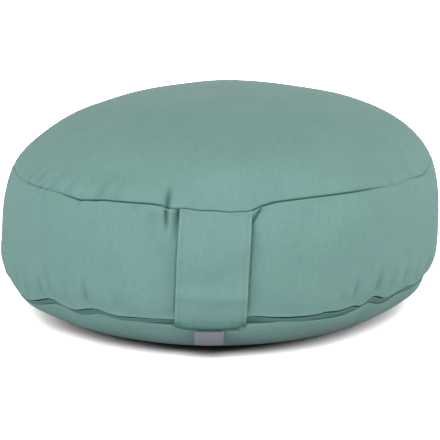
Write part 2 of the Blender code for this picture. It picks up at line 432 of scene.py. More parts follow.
@dataclass(frozen=True)
class CushionForm:
    """The filled form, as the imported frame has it: an even outline, and how the filling has slumped.

    The outline is two superellipses that meet at the belly. Above it the radius is the belly's times
    (1 - rise^b)^(1/a), and below it the radius goes from the contact disc's to the belly's the same way.
    """

    belly_radius: float = 180 * MM
    belly_height: float = 56 * MM
    crown_height: float = 179.5 * MM
    contact_radius: float = 123 * MM
    top_seam_height: float = 120.5 * MM
    zip_height: float = 32 * MM
    foot_seam_height: float = 28 * MM
    shoulder_curve: tuple[float, float] = (2.0, 3.42)
    foot_curve: tuple[float, float] = (1.38, 2.46)
    hem_rise: float = 1.2 * MM
    handle_bearing: float = -1.65
    handle_width: float = 54 * MM
    handle_recess: float = 2.6 * MM
    recess_margin: float = 2.7 * MM
    recess_fade: float = 20 * MM
    lean: float = 0.043
    tilt: float = 0.0227
    tilt_starts: float = 54 * MM
    front_rise: float = 0.02
    dip_reach: float = 26 * MM
    wave_reach: float = 17 * MM
    waves_start: float = 20 * MM
    recess_top: float = 5 * MM
    recess_foot: tuple[float, float] = (-1 * MM, 2 * MM)
    samples: int = 2400
    flat_samples: int = 40
    bearing_step: float = 0.2
    along_step: float = 1 * MM
    table: np.ndarray = field(init=False, repr=False, compare=False)

    def __post_init__(self) -> None:
        """Works out the meridian once: rows of along, radius, height, and the outward normal's two parts.

        Each superellipse is walked by its own angle t: radius follows cos(t)^(2/a) and height sin(t)^(2/b).
        """
        t = np.linspace(math.pi / 2, 0, self.samples)
        upper_radius = self.belly_radius * np.cos(t).clip(0) ** (2 / self.shoulder_curve[0])
        rise = self.crown_height - self.belly_height
        upper_height = self.belly_height + rise * np.sin(t) ** (2 / self.shoulder_curve[1])
        t = np.linspace(0, math.pi / 2, self.samples)[1:]
        overhang = self.belly_radius - self.contact_radius
        lower_radius = self.contact_radius + overhang * np.cos(t).clip(0) ** (2 / self.foot_curve[0])
        lower_height = self.belly_height * (1 - np.sin(t) ** (2 / self.foot_curve[1]))
        flat = np.linspace(self.contact_radius, 0, self.flat_samples)[1:]
        radius = np.concatenate([upper_radius, lower_radius, flat])
        height = np.concatenate([upper_height, lower_height, np.zeros_like(flat)])
        steps = np.hypot(np.diff(radius), np.diff(height))
        along = np.concatenate([[0.0], np.cumsum(steps)])
        normal = np.stack([-np.gradient(height, along), np.gradient(radius, along)])
        normal /= np.hypot(*normal)
        object.__setattr__(self, "table", np.stack([along, radius, height, *normal]))

    @property
    def length(self) -> float:
        """The whole meridian's length, from the crown to the middle of the bottom."""
        return float(self.table[0, -1])

    @property
    def top_seam(self) -> float:
        """Along at the top seam."""
        return self.along_at(self.top_seam_height)

    @property
    def fold(self) -> float:
        """Along at the band's lower fold."""
        return self.along_at(self.zip_height)

    @property
    def foot(self) -> float:
        """Along at the foot panel's upper edge."""
        return self.along_at(self.foot_seam_height)

    @property
    def contact(self) -> float:
        """Along at the edge of the flat disc that rests on the floor."""
        return self.length - self.contact_radius

    def along_at(self, height: float) -> float:
        """How far along the meridian a height is, on its way down."""
        curved = slice(0, 2 * self.samples - 1)
        return float(np.interp(-height, -self.table[2, curved], self.table[0, curved]))

    def radius_at(self, along: np.ndarray) -> np.ndarray:
        """Radius of the even outline at a distance along."""
        return np.interp(along, self.table[0], self.table[1])

    def beside_handle(self, bearing: np.ndarray, radius: Union[np.ndarray, float]) -> np.ndarray:
        """How far to the right of the handle's middle line a bearing is, at a radius."""
        return radius * np.radians(bearing_between(bearing, self.handle_bearing))

    def outline_radius(self, height: np.ndarray) -> np.ndarray:
        """Radius of the even outline, from its two superellipses.

        Args:
            height: heights on the even form.

        Returns:
            The radius at each height.
        """
        height = np.asarray(height, float)
        rise = np.clip((height - self.belly_height) / (self.crown_height - self.belly_height), 0, 1)
        fall = np.clip((self.belly_height - height) / self.belly_height, 0, 1)
        shoulder = (1 - rise ** self.shoulder_curve[1]) ** (1 / self.shoulder_curve[0])
        foot = (1 - fall ** self.foot_curve[1]) ** (1 / self.foot_curve[0])
        below = self.contact_radius + (self.belly_radius - self.contact_radius) * foot
        return np.where(height > self.belly_height, self.belly_radius * shoulder, below)

    def hem(self, bearing: np.ndarray) -> np.ndarray:
        """How far the band's hem rides up over the zip, along the cloth."""
        return self.hem_rise + sum_of_swells(bearing, HEM_RISES) * MM

    def recess(self, bearing: np.ndarray, height: np.ndarray) -> np.ndarray:
        """How far the taut handle presses the band in: flat under it, fading to both sides and at the seams.

        Args:
            bearing: degrees round the cushion.
            height: height on the even form.

        Returns:
            The recess at each point.
        """
        aside = np.abs(self.beside_handle(bearing, self.belly_radius))
        flat = self.handle_width / 2 + self.recess_margin
        across = 1 - smooth_step(aside, flat, flat + self.recess_fade)
        under_top = 1 - smooth_step(height, self.top_seam_height - self.recess_top, self.top_seam_height)
        low, high = (self.foot_seam_height + step for step in self.recess_foot)
        return self.handle_recess * across * under_top * smooth_step(height, low, high)

    def settle(self, bearing: np.ndarray, radius: np.ndarray, height: np.ndarray) -> np.ndarray:
        """Moves points of the even form to where the slumped cushion has them.

        The seams dip and wave by their swells, fading with height. Then the form leans sideways with height,
        tilts up towards +X above its foot, and rises towards the front.

        Args:
            bearing: degrees round the cushion.
            radius: distance from the even form's axis.
            height: height on the even form.

        Returns:
            Points, with x, y and z along the last axis.
        """
        near_top = bell(height - self.top_seam_height, self.dip_reach)
        near_zip = bell(height - self.zip_height, self.wave_reach) * smooth_step(height, 0, self.waves_start)
        lift = sum_of_swells(bearing, TOP_SEAM_DIPS) * near_top
        lift = lift + sum_of_swells(bearing, ZIP_WAVES) * near_zip
        radius = radius - self.recess(bearing, height)
        height = height + lift * MM
        angle = np.radians(bearing)
        x, y = radius * np.sin(angle), -radius * np.cos(angle)
        rise = self.tilt * x * smooth_step(height, 0, self.tilt_starts)
        rise = rise - self.front_rise * y / self.belly_radius * height
        return np.stack([x + self.lean * (height - self.belly_height), y, height + rise], axis=-1)

    def surface(
        self, bearing: np.ndarray, along: np.ndarray, offset: Union[np.ndarray, float] = 0.0
    ) -> np.ndarray:
        """Points of the slumped form: the meridian's point, moved out along its own normal, then settled.

        Args:
            bearing: degrees round the cushion.
            along: cloth distance from the crown.
            offset: how far outside the even surface the point is.

        Returns:
            Points, with x, y and z along the last axis.
        """
        at = self.table[0]
        radius, height, out, up = (np.interp(along, at, row) for row in self.table[1:])
        return self.settle(bearing, radius + out * offset, height + up * offset)

    def normals(self, bearing: np.ndarray, along: np.ndarray) -> np.ndarray:
        """Outward unit normals of the slumped form: the cross product of its slopes along and round it.

        Args:
            bearing: degrees round the cushion.
            along: cloth distance from the crown.

        Returns:
            Unit vectors along the last axis.
        """
        turn, step = self.bearing_step, self.along_step
        along = np.clip(along, 2 * step, self.length - 2 * step)
        round_it = self.surface(bearing + turn, along) - self.surface(bearing - turn, along)
        down = self.surface(bearing, along + step) - self.surface(bearing, along - step)
        normal = np.cross(down, round_it)
        return normal / np.linalg.norm(normal, axis=-1, keepdims=True)


def mesh_object(name: str, points: np.ndarray, faces: list) -> bpy.types.Object:
    """A new smooth-shaded mesh object at the origin.

    Args:
        name: the piece's name.
        points: vertex positions, one row each.
        faces: vertex numbers of each face.

    Returns:
        The object, linked to the scene.
    """
    mesh = bpy.data.meshes.new(name)
    mesh.from_pydata(points.reshape(-1, 3).tolist(), [], faces)
    mesh.shade_smooth()
    made = bpy.data.objects.new(name, mesh)
    bpy.context.scene.collection.objects.link(made)
    return made


def dress(piece: bpy.types.Object, uv: np.ndarray, painted_light: np.ndarray, finish: bpy.types.Material) -> None:
    """Gives a piece its cloth UV map in metres, its painted shade and highlight, and its material.

    Args:
        piece: the mesh object.
        uv: one (u, v) for each face corner, in the mesh's order.
        painted_light: for each vertex, how much painted highlight (above 0) or painted shade (below 0) it
            has.
        finish: its material.
    """
    layer = piece.data.uv_layers.new(name=UV_NAME)
    layer.uv.foreach_set("vector", uv.astype(np.float32).ravel())
    attribute = piece.data.attributes.new(PAINTED_LIGHT_NAME, "FLOAT", "POINT")
    attribute.data.foreach_set("value", painted_light.astype(np.float32).ravel())
    piece.data.materials.append(finish)


def corners(mesh: bpy.types.Mesh) -> tuple[np.ndarray, np.ndarray]:
    """The vertex number and the face number of each face corner, in the mesh's order.

    Args:
        mesh: the mesh to read.

    Returns:
        Two arrays with an entry for each corner.
    """
    vertex = np.empty(len(mesh.loops), np.int32)
    mesh.loops.foreach_get("vertex_index", vertex)
    size = np.empty(len(mesh.polygons), np.int32)
    mesh.polygons.foreach_get("loop_total", size)
    return vertex, np.repeat(np.arange(len(size)), size)


@dataclass(frozen=True)
class Rings:
    """Closed rings of vertices from the crown's middle to the bottom's, with a pole at each end.

    A ring near a pole has half or a quarter of the full count, so that the cells stay about as wide as tall.

    Args:
        form: the cushion's form.
        along: each ring's cloth distance from the crown.
        offset: how far outside the even surface each ring is.
        panel: the panel that each ring's lower faces belong to.
        full: the vertex count of the widest rings.
        gathered: where the vertices stand closer.
        full_radius: the radius at and above which a ring has the full count.
        least_radius: the radius below which the count doesn't fall further.
        halvings: how often the count may halve.
        density_steps: into how many steps a turn is cut to add up the vertices' density.
    """

    form: CushionForm
    along: np.ndarray
    offset: np.ndarray
    panel: np.ndarray
    full: int
    gathered: tuple[Swell, ...] = ()
    full_radius: float = 88 * MM
    least_radius: float = 1 * MM
    halvings: int = 4
    density_steps: int = 7200

    @property
    def counts(self) -> np.ndarray:
        """Vertices in each ring: the full count, halved each time the radius halves."""
        radius = np.maximum(self.form.radius_at(self.along), self.least_radius)
        halved = np.ceil(np.log2(self.full_radius / radius)).clip(0, self.halvings)
        return (self.full / 2**halved).astype(int)

    def vertex_rings(self) -> np.ndarray:
        """The ring number of each vertex, the poles' vertices left out."""
        return np.repeat(np.arange(len(self.along)), self.counts)

    def bearings(self) -> np.ndarray:
        """The bearing of each vertex, from the middle of the handle.

        A vertex has an even share of the ring's density, which is 1 plus the gathering swells, added up.

        Returns:
            Degrees, the poles' vertices left out.
        """
        counts = self.counts
        ring = self.vertex_rings()
        starts = np.concatenate([[0], np.cumsum(counts)[:-1]])
        turn = np.linspace(0, 360, self.density_steps + 1)
        density = 1 + sum_of_swells(turn + self.form.handle_bearing, self.gathered) + np.zeros_like(turn)
        reached = np.concatenate([[0.0], np.cumsum(density[1:] + density[:-1])])
        share = (np.arange(len(ring)) - starts[ring]) / counts[ring]
        return self.form.handle_bearing + np.interp(share, reached / reached[-1], turn)

    def faces(self) -> list:
        """Quads between rings of one count, a triangle and a quad at each halving, a fan at each pole.

        Returns:
            The vertex numbers of each face, facing outwards.
        """
        counts = self.counts
        starts = np.concatenate([[0], np.cumsum(counts)])
        found: list = []
        for upper, lower, n, m in zip(starts[:-2], starts[1:-1], counts[:-1], counts[1:]):
            j = np.arange(min(n, m))
            k = (j + 1) % min(n, m)
            if n == m:
                found += np.stack([upper + j, lower + j, lower + k, upper + k], -1).tolist()
            elif n > m:
                left, mid, right = upper + 2 * j, upper + 2 * j + 1, upper + 2 * k
                found += np.stack([left, lower + j, mid], -1).tolist()
                found += np.stack([mid, lower + j, lower + k, right], -1).tolist()
            else:
                left, mid, right = lower + 2 * j, lower + 2 * j + 1, lower + 2 * k
                found += np.stack([upper + j, left, mid], -1).tolist()
                found += np.stack([upper + j, mid, right, upper + k], -1).tolist()
        crown, bottom = int(starts[-1]), int(starts[-1]) + 1
        j = np.arange(counts[0])
        found += np.stack([np.full_like(j, crown), j, (j + 1) % counts[0]], -1).tolist()
        j, last = np.arange(counts[-1]), int(starts[-2])
        found += np.stack([np.full_like(j, bottom), last + (j + 1) % counts[-1], last + j], -1).tolist()
        return found

    def poles(self) -> np.ndarray:
        """The crown's and the bottom's middle points."""
        return self.form.surface(np.zeros(2), np.array([0.0, self.form.length]))


@dataclass(frozen=True)
class SeamShape:
    """The section of the sewn top seam: a V that the two panels roll into, with a slight swell beside it."""

    depth: float = 2.0 * MM
    width: float = 0.55 * MM
    power: float = 2.0
    swell: float = 0.35 * MM
    swell_at: float = 2.4 * MM
    swell_width: float = 1.5 * MM
    least: float = 0.2
    most: float = 1.35

    def offset(self, distance: np.ndarray) -> np.ndarray:
        """Minus depth times e^-(|d|/width)^power, plus the swell's bell on each side.

        Args:
            distance: cloth distance from the seam.

        Returns:
            How far out the cloth is.
        """
        side = np.abs(distance)
        groove = self.depth * np.exp(-((side / self.width) ** self.power))
        return self.swell * bell(side - self.swell_at, self.swell_width) - groove

    def shown(self, bearing: np.ndarray) -> np.ndarray:
        """How far the seam's line is open, from least where the two panels press together to most."""
        return np.clip(1 - sum_of_swells(bearing, SEAM_CLOSES) * PER_THOUSAND, self.least, self.most)


@dataclass(frozen=True)
class ZipChannel:
    """The section of the zip's channel: the band's rounded fold, the back wall and the foot panel's edge."""

    proud: float = 0.6 * MM
    fold_radius: float = 0.8 * MM
    proud_reach: tuple[float, float] = (5 * MM, 1 * MM)
    depth: float = 3.2 * MM
    foot_edge: float = 0.6 * MM
    foot_proud: float = -0.1 * MM
    foot_reach: float = 4 * MM
    wall_gap: float = 0.1 * MM
    turned_to: float = -50.0
    arc_steps: int = 7

    def section(self, fold: float, foot: float) -> tuple[np.ndarray, np.ndarray]:
        """The rows of the channel from the band's fold to the foot panel's edge.

        The fold is an arc from facing outwards to facing inwards; the foot's edge is an arc the other way.

        Args:
            fold: along at the band's lower edge.
            foot: along at the foot panel's upper edge.

        Returns:
            Along and offset of each row.
        """
        turn = np.radians(np.linspace(90, self.turned_to, self.arc_steps))
        along = fold - self.fold_radius + self.fold_radius * np.cos(turn)
        offset = self.proud - self.fold_radius + self.fold_radius * np.sin(turn)
        inner = np.array([fold - self.wall_gap, foot + self.wall_gap])
        turn = turn[::-1]
        edge_along = foot + self.foot_edge - self.foot_edge * np.cos(turn)
        edge_offset = self.foot_proud - self.foot_edge + self.foot_edge * np.sin(turn)
        return (
            np.concatenate([along, inner, edge_along]),
            np.concatenate([offset, np.full(2, -self.depth), edge_offset]),
        )


@dataclass(frozen=True)
class Filling:
    """The filling's pressure on the slack cloth beside the seams, worked out by a cloth simulation.

    A coarser copy of the cover, held at its seams and its contact disc, has a little more cloth than it
    needs near them. Pressure from inside buckles the excess into puckers. What is kept is each point's
    movement along the form's normal, less its mean round the ring, so the outline stays where it was.
    """

    form: CushionForm
    columns: int = 240
    pitch: float = 4.2 * MM
    slack: float = 0.03
    slack_reach: float = 34 * MM
    sewn_width: float = 1.5 * MM
    resting_margin: float = 12 * MM
    pressure: float = 2.5
    mass: float = 0.25
    air_damping: float = 2.0
    stretch_stiffness: float = 20.0
    shear_stiffness: float = 10.0
    bending_stiffness: float = 1.0
    quality: int = 6
    frames: int = 20
    cap: float = 2.2 * MM

    def rings(self) -> Rings:
        """The coarse copy's rings, with one exactly on each seam.

        Returns:
            The rings, all on the even surface.
        """
        form = self.form
        stops = (0.0, form.top_seam, form.fold, form.foot, form.contact, form.length)
        spans = [spread(start, end, self.pitch) for start, end in zip(stops[:-1], stops[1:])]
        along = np.concatenate(spans)[1:]
        return Rings(form, along, np.zeros_like(along), np.zeros(len(along), int), self.columns)

    def weights(self, bearing: np.ndarray, along: np.ndarray) -> tuple[np.ndarray, np.ndarray]:
        """How firmly each vertex is held, and its share of the slack.

        Args:
            bearing: each vertex's bearing.
            along: each vertex's distance from the crown.

        Returns:
            Two arrays from 0 to 1.
        """
        form, width = self.form, self.sewn_width
        by_top = np.abs(along - form.top_seam) < width
        by_zip = (along > form.fold - width) & (along < form.foot + width)
        resting = along > form.contact - self.resting_margin
        held = np.where(by_top | by_zip | resting, 1.0, 0.0)
        excess = sum_of_swells(bearing, TOP_SLACK) * bell(along - form.top_seam, self.slack_reach)
        excess = excess + sum_of_swells(bearing, ZIP_SLACK) * bell(along - form.fold, self.slack_reach)
        return held, np.clip(excess * PER_THOUSAND / self.slack, 0, 1)

    def add_cloth(self, piece: bpy.types.Object) -> None:
        """Adds the cloth simulation: pressure alone, on cloth held and slack by the piece's two groups.

        Args:
            piece: the coarse copy.
        """
        cloth = piece.modifiers.new("pressure", "CLOTH")
        settings = cloth.settings
        settings.quality = self.quality
        settings.mass = self.mass
        settings.air_damping = self.air_damping
        settings.tension_stiffness = settings.compression_stiffness = self.stretch_stiffness
        settings.shear_stiffness = self.shear_stiffness
        settings.bending_stiffness = self.bending_stiffness
        settings.use_pressure = True
        settings.uniform_pressure_force = self.pressure
        settings.vertex_group_mass = "held"
        settings.vertex_group_shrink = "slack"
        settings.shrink_min = 0.0
        settings.shrink_max = -self.slack
        settings.effector_weights.gravity = 0
        cloth.collision_settings.use_collision = False

    def push(self) -> tuple[np.ndarray, np.ndarray]:
        """Runs the simulation.

        Returns:
            The rings' distances along, and a table of how far the cloth moved out: a row for each ring and
            an even column for each of the full ring's bearings.
        """
        rings = self.rings()
        ring, bearing = rings.vertex_rings(), rings.bearings()
        start = np.vstack([self.form.surface(bearing, rings.along[ring]), rings.poles()])
        copy = mesh_object("filling_copy", start, rings.faces())
        for name, weight in zip(("held", "slack"), self.weights(bearing, rings.along[ring])):
            self.group(copy, name, weight)
        self.add_cloth(copy)
        for number in range(1, self.frames + 1):
            bpy.context.scene.frame_set(number)
        shape = copy.evaluated_get(bpy.context.evaluated_depsgraph_get()).to_mesh()
        moved = np.empty(3 * len(shape.vertices), np.float32)
        shape.vertices.foreach_get("co", moved)
        bpy.context.scene.frame_set(1)
        bpy.data.objects.remove(copy)
        shift = moved.reshape(-1, 3)[: len(ring)] - start[: len(ring)]
        out = (shift * self.form.normals(bearing, rings.along[ring])).sum(axis=1)
        LOG.info("filling moved the cloth by up to %.1f mm", np.abs(out).max() / MM)
        even = self.form.handle_bearing + 360 * np.arange(self.columns) / self.columns
        table = np.zeros((len(rings.along), self.columns))
        for number in range(len(rings.along)):
            mine = ring == number
            row = np.interp(even, bearing[mine], out[mine], period=360)
            table[number] = row - row.mean()
        return rings.along, self.cap * np.tanh(table / self.cap)

    @staticmethod
    def group(piece: bpy.types.Object, name: str, weight: np.ndarray, levels: int = 40) -> None:
        """Adds a vertex group whose weights are rounded to a number of levels.

        Args:
            piece: the mesh object.
            name: the group's name.
            weight: each vertex's weight, from 0 to 1.
            levels: the number of levels.
        """
        made = piece.vertex_groups.new(name=name)
        level = np.round(weight * levels).astype(int)
        for step in range(1, levels + 1):
            made.add(np.flatnonzero(level == step).tolist(), step / levels, "REPLACE")


@dataclass(frozen=True)
class HandlePress:
    """What the handle leaves in the cover: its long edges press the band, its lower edge lines the foot.

    The tuples are distances: below the top seam where the press starts and is full, and above the fold where
    it begins to end and is gone. The line's ends are shares of the handle's half width.
    """

    form: CushionForm
    depth: float = 1.2 * MM
    aside: float = 0.3 * MM
    width: float = 1.5 * MM
    starts: tuple[float, float] = (1 * MM, 8 * MM)
    ends: tuple[float, float] = (6 * MM, 2 * MM)
    line_depth: float = 1.6 * MM
    line_width: float = 0.8 * MM
    line_drop: float = 1.5 * MM
    line_bow: float = 2.9 * MM
    line_ends: tuple[float, float] = (0.94, 1.04)

    def beside(self, bearing: np.ndarray, along: np.ndarray) -> np.ndarray:
        """How far the two long edges press the band in: a narrow bell just outside each edge.

        Args:
            bearing: degrees round the cushion.
            along: cloth distance from the crown.

        Returns:
            The depth at each point.
        """
        form = self.form
        across = np.abs(form.beside_handle(bearing, form.radius_at(along)))
        beside = bell(across - form.handle_width / 2 - self.aside, self.width)
        below_top = smooth_step(along, *(form.top_seam + step for step in self.starts))
        above_fold = 1 - smooth_step(along, *(form.fold - step for step in self.ends))
        return self.depth * beside * below_top * above_fold

    def line(self, bearing: np.ndarray, along: np.ndarray) -> np.ndarray:
        """How far the foot panel is grooved along the handle's lower edge, from 0 to 1.

        The groove's line drops by 1 - |share|^4 of its bow, where share is the way from the handle's middle
        to its edge.

        Args:
            bearing: degrees round the cushion.
            along: cloth distance from the crown.

        Returns:
            The share of the groove's depth at each point.
        """
        form = self.form
        share = np.abs(form.beside_handle(bearing, form.belly_radius)) / (0.5 * form.handle_width)
        line = form.foot + self.line_drop + self.line_bow * (1 - share.clip(0, 1) ** 4)
        return bell(along - line, self.line_width) * (1 - smooth_step(share, *self.line_ends))


@dataclass(frozen=True)
class Lumps:
    """The filling's soft unevenness: waves in seeded directions, each some share of one length long."""

    size: float = 0.6 * MM
    length: float = 70 * MM
    shares: tuple[float, float] = (0.6, 1.5)
    waves: int = 28
    seed: int = 11

    def at(self, points: np.ndarray) -> np.ndarray:
        """How far the lumps push each point out.

        Args:
            points: places in space.

        Returns:
            The sum of the waves' cosines, scaled to the lumps' size.
        """
        source = np.random.default_rng(self.seed)
        direction = source.normal(size=(self.waves, 3))
        direction /= np.linalg.norm(direction, axis=1, keepdims=True)
        length = self.length * source.uniform(*self.shares, self.waves)
        phase = source.uniform(0, 2 * math.pi, self.waves)
        angle = 2 * math.pi * points @ (direction / length[:, None]).T + phase
        return self.size * np.cos(angle).sum(axis=1) / math.sqrt(self.waves / 2)


@dataclass(frozen=True)
class Cover:
    """The cotton cover as one closed piece: top panel, seam, side band, zip channel and bottom panel.

    A row of gaps says how far the rings beside the top seam are from it, in millimetres. The cloth begins to
    follow the hem, and does, at two distances above the fold. It begins to lie flat, and does, at two
    distances outside the disc it rests on.
    """

    form: CushionForm
    seam: SeamShape = SeamShape()
    channel: ZipChannel = ZipChannel()
    lumps: Lumps = Lumps()
    columns: int = 560
    pitch: float = 2.3 * MM
    bottom_pitch: float = 9 * MM
    ring_gaps: tuple[float, ...] = (0.15, 0.35, 0.6, 0.9, 1.3, 2.0, 3.0, 4.4)
    edge_gap: float = 0.8 * MM
    crown_gap: float = 4 * MM
    seam_reach: float = 5 * MM
    hem_reach: tuple[float, float] = (14 * MM, 2 * MM)
    free_reach: float = 4 * MM
    rest_reach: float = 7 * MM
    flat_reach: tuple[float, float] = (16 * MM, 4 * MM)
    # A painted highlight on the hem's fold, and the painted shade in creases: its strength and the depth at
    # which it is full.
    hem_highlight: tuple[PaintedLightLine, ...] = (PaintedLightLine(0.3, -1.2 * MM, 1.0 * MM),)
    crease_shade: float = 0.5
    shade_depth: float = 4 * MM
    top_island: tuple[float, float] = (0.25, 0.3)
    bottom_island: tuple[float, float] = (0.7, 0.3)

    def rings(self) -> Rings:
        """The cover's rings: even over the panels, close together across the seam and round the folds.

        Returns:
            The rings, with the seam's and the channel's sections in their offsets.
        """
        form, channel = self.form, self.channel
        beside = np.array(self.ring_gaps) * MM
        near = np.concatenate([-beside[::-1], [0.0], beside])
        edge = beside[-1]
        top = spread(self.pitch, form.top_seam - edge, self.pitch)
        band = spread(form.top_seam + edge + self.pitch, form.fold - channel.fold_radius, self.pitch)
        channel_along, channel_offset = channel.section(form.fold, form.foot)
        low = spread(form.foot + channel.foot_edge + self.edge_gap, form.contact, self.pitch)
        rest = spread(form.contact, form.length - self.crown_gap, self.bottom_pitch)
        band_offset = channel.proud * smooth_step(band, *(form.fold - step for step in channel.proud_reach))
        low_offset = channel.foot_proud * (1 - smooth_step(low, form.foot, form.foot + channel.foot_reach))
        along = [top, form.top_seam + near, band, channel_along, low, rest]
        offset = [np.zeros_like(top), self.seam.offset(near), band_offset, channel_offset, low_offset]
        offset.append(np.zeros_like(rest))
        panel = np.full(sum(map(len, along)), Panel.BAND.value)
        panel[: len(top) + len(beside)] = Panel.TOP.value
        panel[-len(low) - len(rest) - channel.arc_steps - 1 :] = Panel.BOTTOM.value
        return Rings(form, np.concatenate(along), np.concatenate(offset), panel, self.columns, GATHERED)

    def sunk(self, rows: tuple[Crease, ...], bearing: np.ndarray, along: np.ndarray) -> np.ndarray:
        """How far a table of creases sinks the cloth.

        Args:
            rows: the table.
            bearing: degrees round the cushion.
            along: cloth distance from the crown.

        Returns:
            The depth at each point.
        """
        radius = self.form.radius_at(along)
        total = np.zeros_like(along)
        for crease in rows:
            seam = self.form.top_seam if crease.seam is Seam.TOP else self.form.fold
            aside = radius * np.radians(bearing_between(bearing, crease.bearing)) / MM
            total += crease.sink((seam - along) / MM, aside)
        return total * MM

    def build(self, finish: bpy.types.Material) -> bpy.types.Object:
        """Builds the cover: the settled form, pushed out by the filling and sunk by creases.

        Args:
            finish: the cotton's material.

        Returns:
            The dressed cover.
        """
        form, press = self.form, HandlePress(self.form)
        rings = self.rings()
        ring, bearing = rings.vertex_rings(), rings.bearings()
        along, offset = rings.along[ring], rings.offset[ring]
        from_seam = np.abs(along - form.top_seam)
        offset = offset * np.where(from_seam < self.seam_reach, self.seam.shown(bearing), 1)
        hemmed = smooth_step(along, *(form.fold - step for step in self.hem_reach))
        hemmed = hemmed * (2 * along < form.fold + form.foot)
        points = form.surface(bearing, along - form.hem(bearing) * hemmed, offset)
        clear = np.minimum(from_seam, np.abs(along - form.fold))
        free = smooth_step(clear, 0, self.free_reach)
        free = free * (1 - smooth_step(along, form.foot, form.contact - self.rest_reach))
        sink = self.sunk(CREASES, bearing, along) + press.beside(bearing, along)
        line = press.line(bearing, along)
        out = self.lumps.at(points) * free - sink - self.sunk(SLUMPS, bearing, along)
        out = out - press.line_depth * line
        out = out + self.pushed(bearing, along) * free
        out = out * (1 - smooth_step(along, *(form.contact - step for step in self.flat_reach)))
        points = points + form.normals(bearing, along) * out[:, None]
        piece = mesh_object("cover", np.vstack([points, rings.poles()]), rings.faces())
        # Painted shade down in the top seam's groove, along the handle's lower edge and in the creases; a
        # painted highlight on the hem's fold.
        groove = np.clip(-offset / self.seam.depth, 0, 1) * (clear < self.seam_reach)
        painted_light = painted_light_lines(along - form.fold, self.hem_highlight) - groove - line
        painted_light = painted_light - self.crease_shade * np.clip(sink / self.shade_depth, 0, 1)
        dress(piece, self.cloth_uv(piece.data, rings), np.append(painted_light, [0.0, 0.0]), finish)
        return piece

    def pushed(self, bearing: np.ndarray, along: np.ndarray) -> np.ndarray:
        """The filling's push at each point, read from its table by shares between rows and columns.

        Args:
            bearing: degrees round the cushion.
            along: cloth distance from the crown.

        Returns:
            How far out the cloth is pushed.
        """
        at, table = Filling(self.form).push()
        column = ((bearing - self.form.handle_bearing) % 360) / 360 * table.shape[1]
        left = np.floor(column).astype(int) % table.shape[1]
        right = (left + 1) % table.shape[1]
        row = np.interp(along, at, np.arange(len(at)))
        upper = np.floor(row).astype(int)
        lower = np.minimum(upper + 1, len(at) - 1)
        down, aside = row - upper, column - np.floor(column)
        above = table[upper, left] * (1 - aside) + table[upper, right] * aside
        below = table[lower, left] * (1 - aside) + table[lower, right] * aside
        return above * (1 - down) + below * down

    def cloth_uv(self, mesh: bpy.types.Mesh, rings: Rings) -> np.ndarray:
        """Where each face corner lies on the cut cloth, in metres.

        The round panels lie flat round their middles, with the warp along Y. The band lies with its length
        along U and its height along V. The islands are set side by side.

        Args:
            mesh: the cover's mesh.
            rings: the rings it was made from.

        Returns:
            One (u, v) for each face corner.
        """
        vertex, face = corners(mesh)
        last = len(rings.along) - 1
        ring = np.append(rings.vertex_rings(), [0, last])
        bearing = np.append(rings.bearings(), [0.0, 0.0]) - self.form.handle_bearing
        along = np.append(rings.along[rings.vertex_rings()], [0.0, self.form.length])
        faces = len(mesh.polygons)
        first_ring, widest = np.full(faces, last), np.zeros(faces)
        np.minimum.at(first_ring, face, ring[vertex])
        np.maximum.at(widest, face, bearing[vertex])
        turned = bearing[vertex]
        turned = np.where((widest[face] > 180) & (turned < 90), turned + 360, turned)
        angle = np.radians(bearing[vertex] + self.form.handle_bearing)
        panel = rings.panel[first_ring][face]
        reach = np.where(panel == Panel.TOP.value, along[vertex], self.form.length - along[vertex])
        island = np.where((panel == Panel.BOTTOM.value)[:, None], self.bottom_island, self.top_island)
        flat = np.stack([reach * np.sin(angle), -reach * np.cos(angle)], axis=-1) + island
        band = [self.form.belly_radius * np.radians(turned), self.form.top_seam - along[vertex]]
        return np.where((panel == Panel.BAND.value)[:, None], np.stack(band, axis=-1), flat)


def strip_faces(rows: int, loop: int) -> list:
    """Faces of a tube of rows round a closed section, its ends closed by quads between facing points.

    Args:
        rows: how many sections there are.
        loop: points in a section, an even number that starts at one edge's middle.

    Returns:
        The faces, facing outwards for a section that runs against the clock as seen from the last row.
    """
    row = np.arange(rows - 1)[:, None] * loop
    j = np.arange(loop)[None, :]
    k = (j + 1) % loop
    around = (row + j, row + k, row + loop + k, row + loop + j)
    found = np.stack(np.broadcast_arrays(*around), -1).reshape(-1, 4).tolist()
    i = np.arange(loop // 2 - 1)
    near = np.stack([i + 1, i, loop - 1 - i, loop - 2 - i], -1)
    far = near[:, ::-1] + (rows - 1) * loop
    return found + near.tolist() + far.tolist()


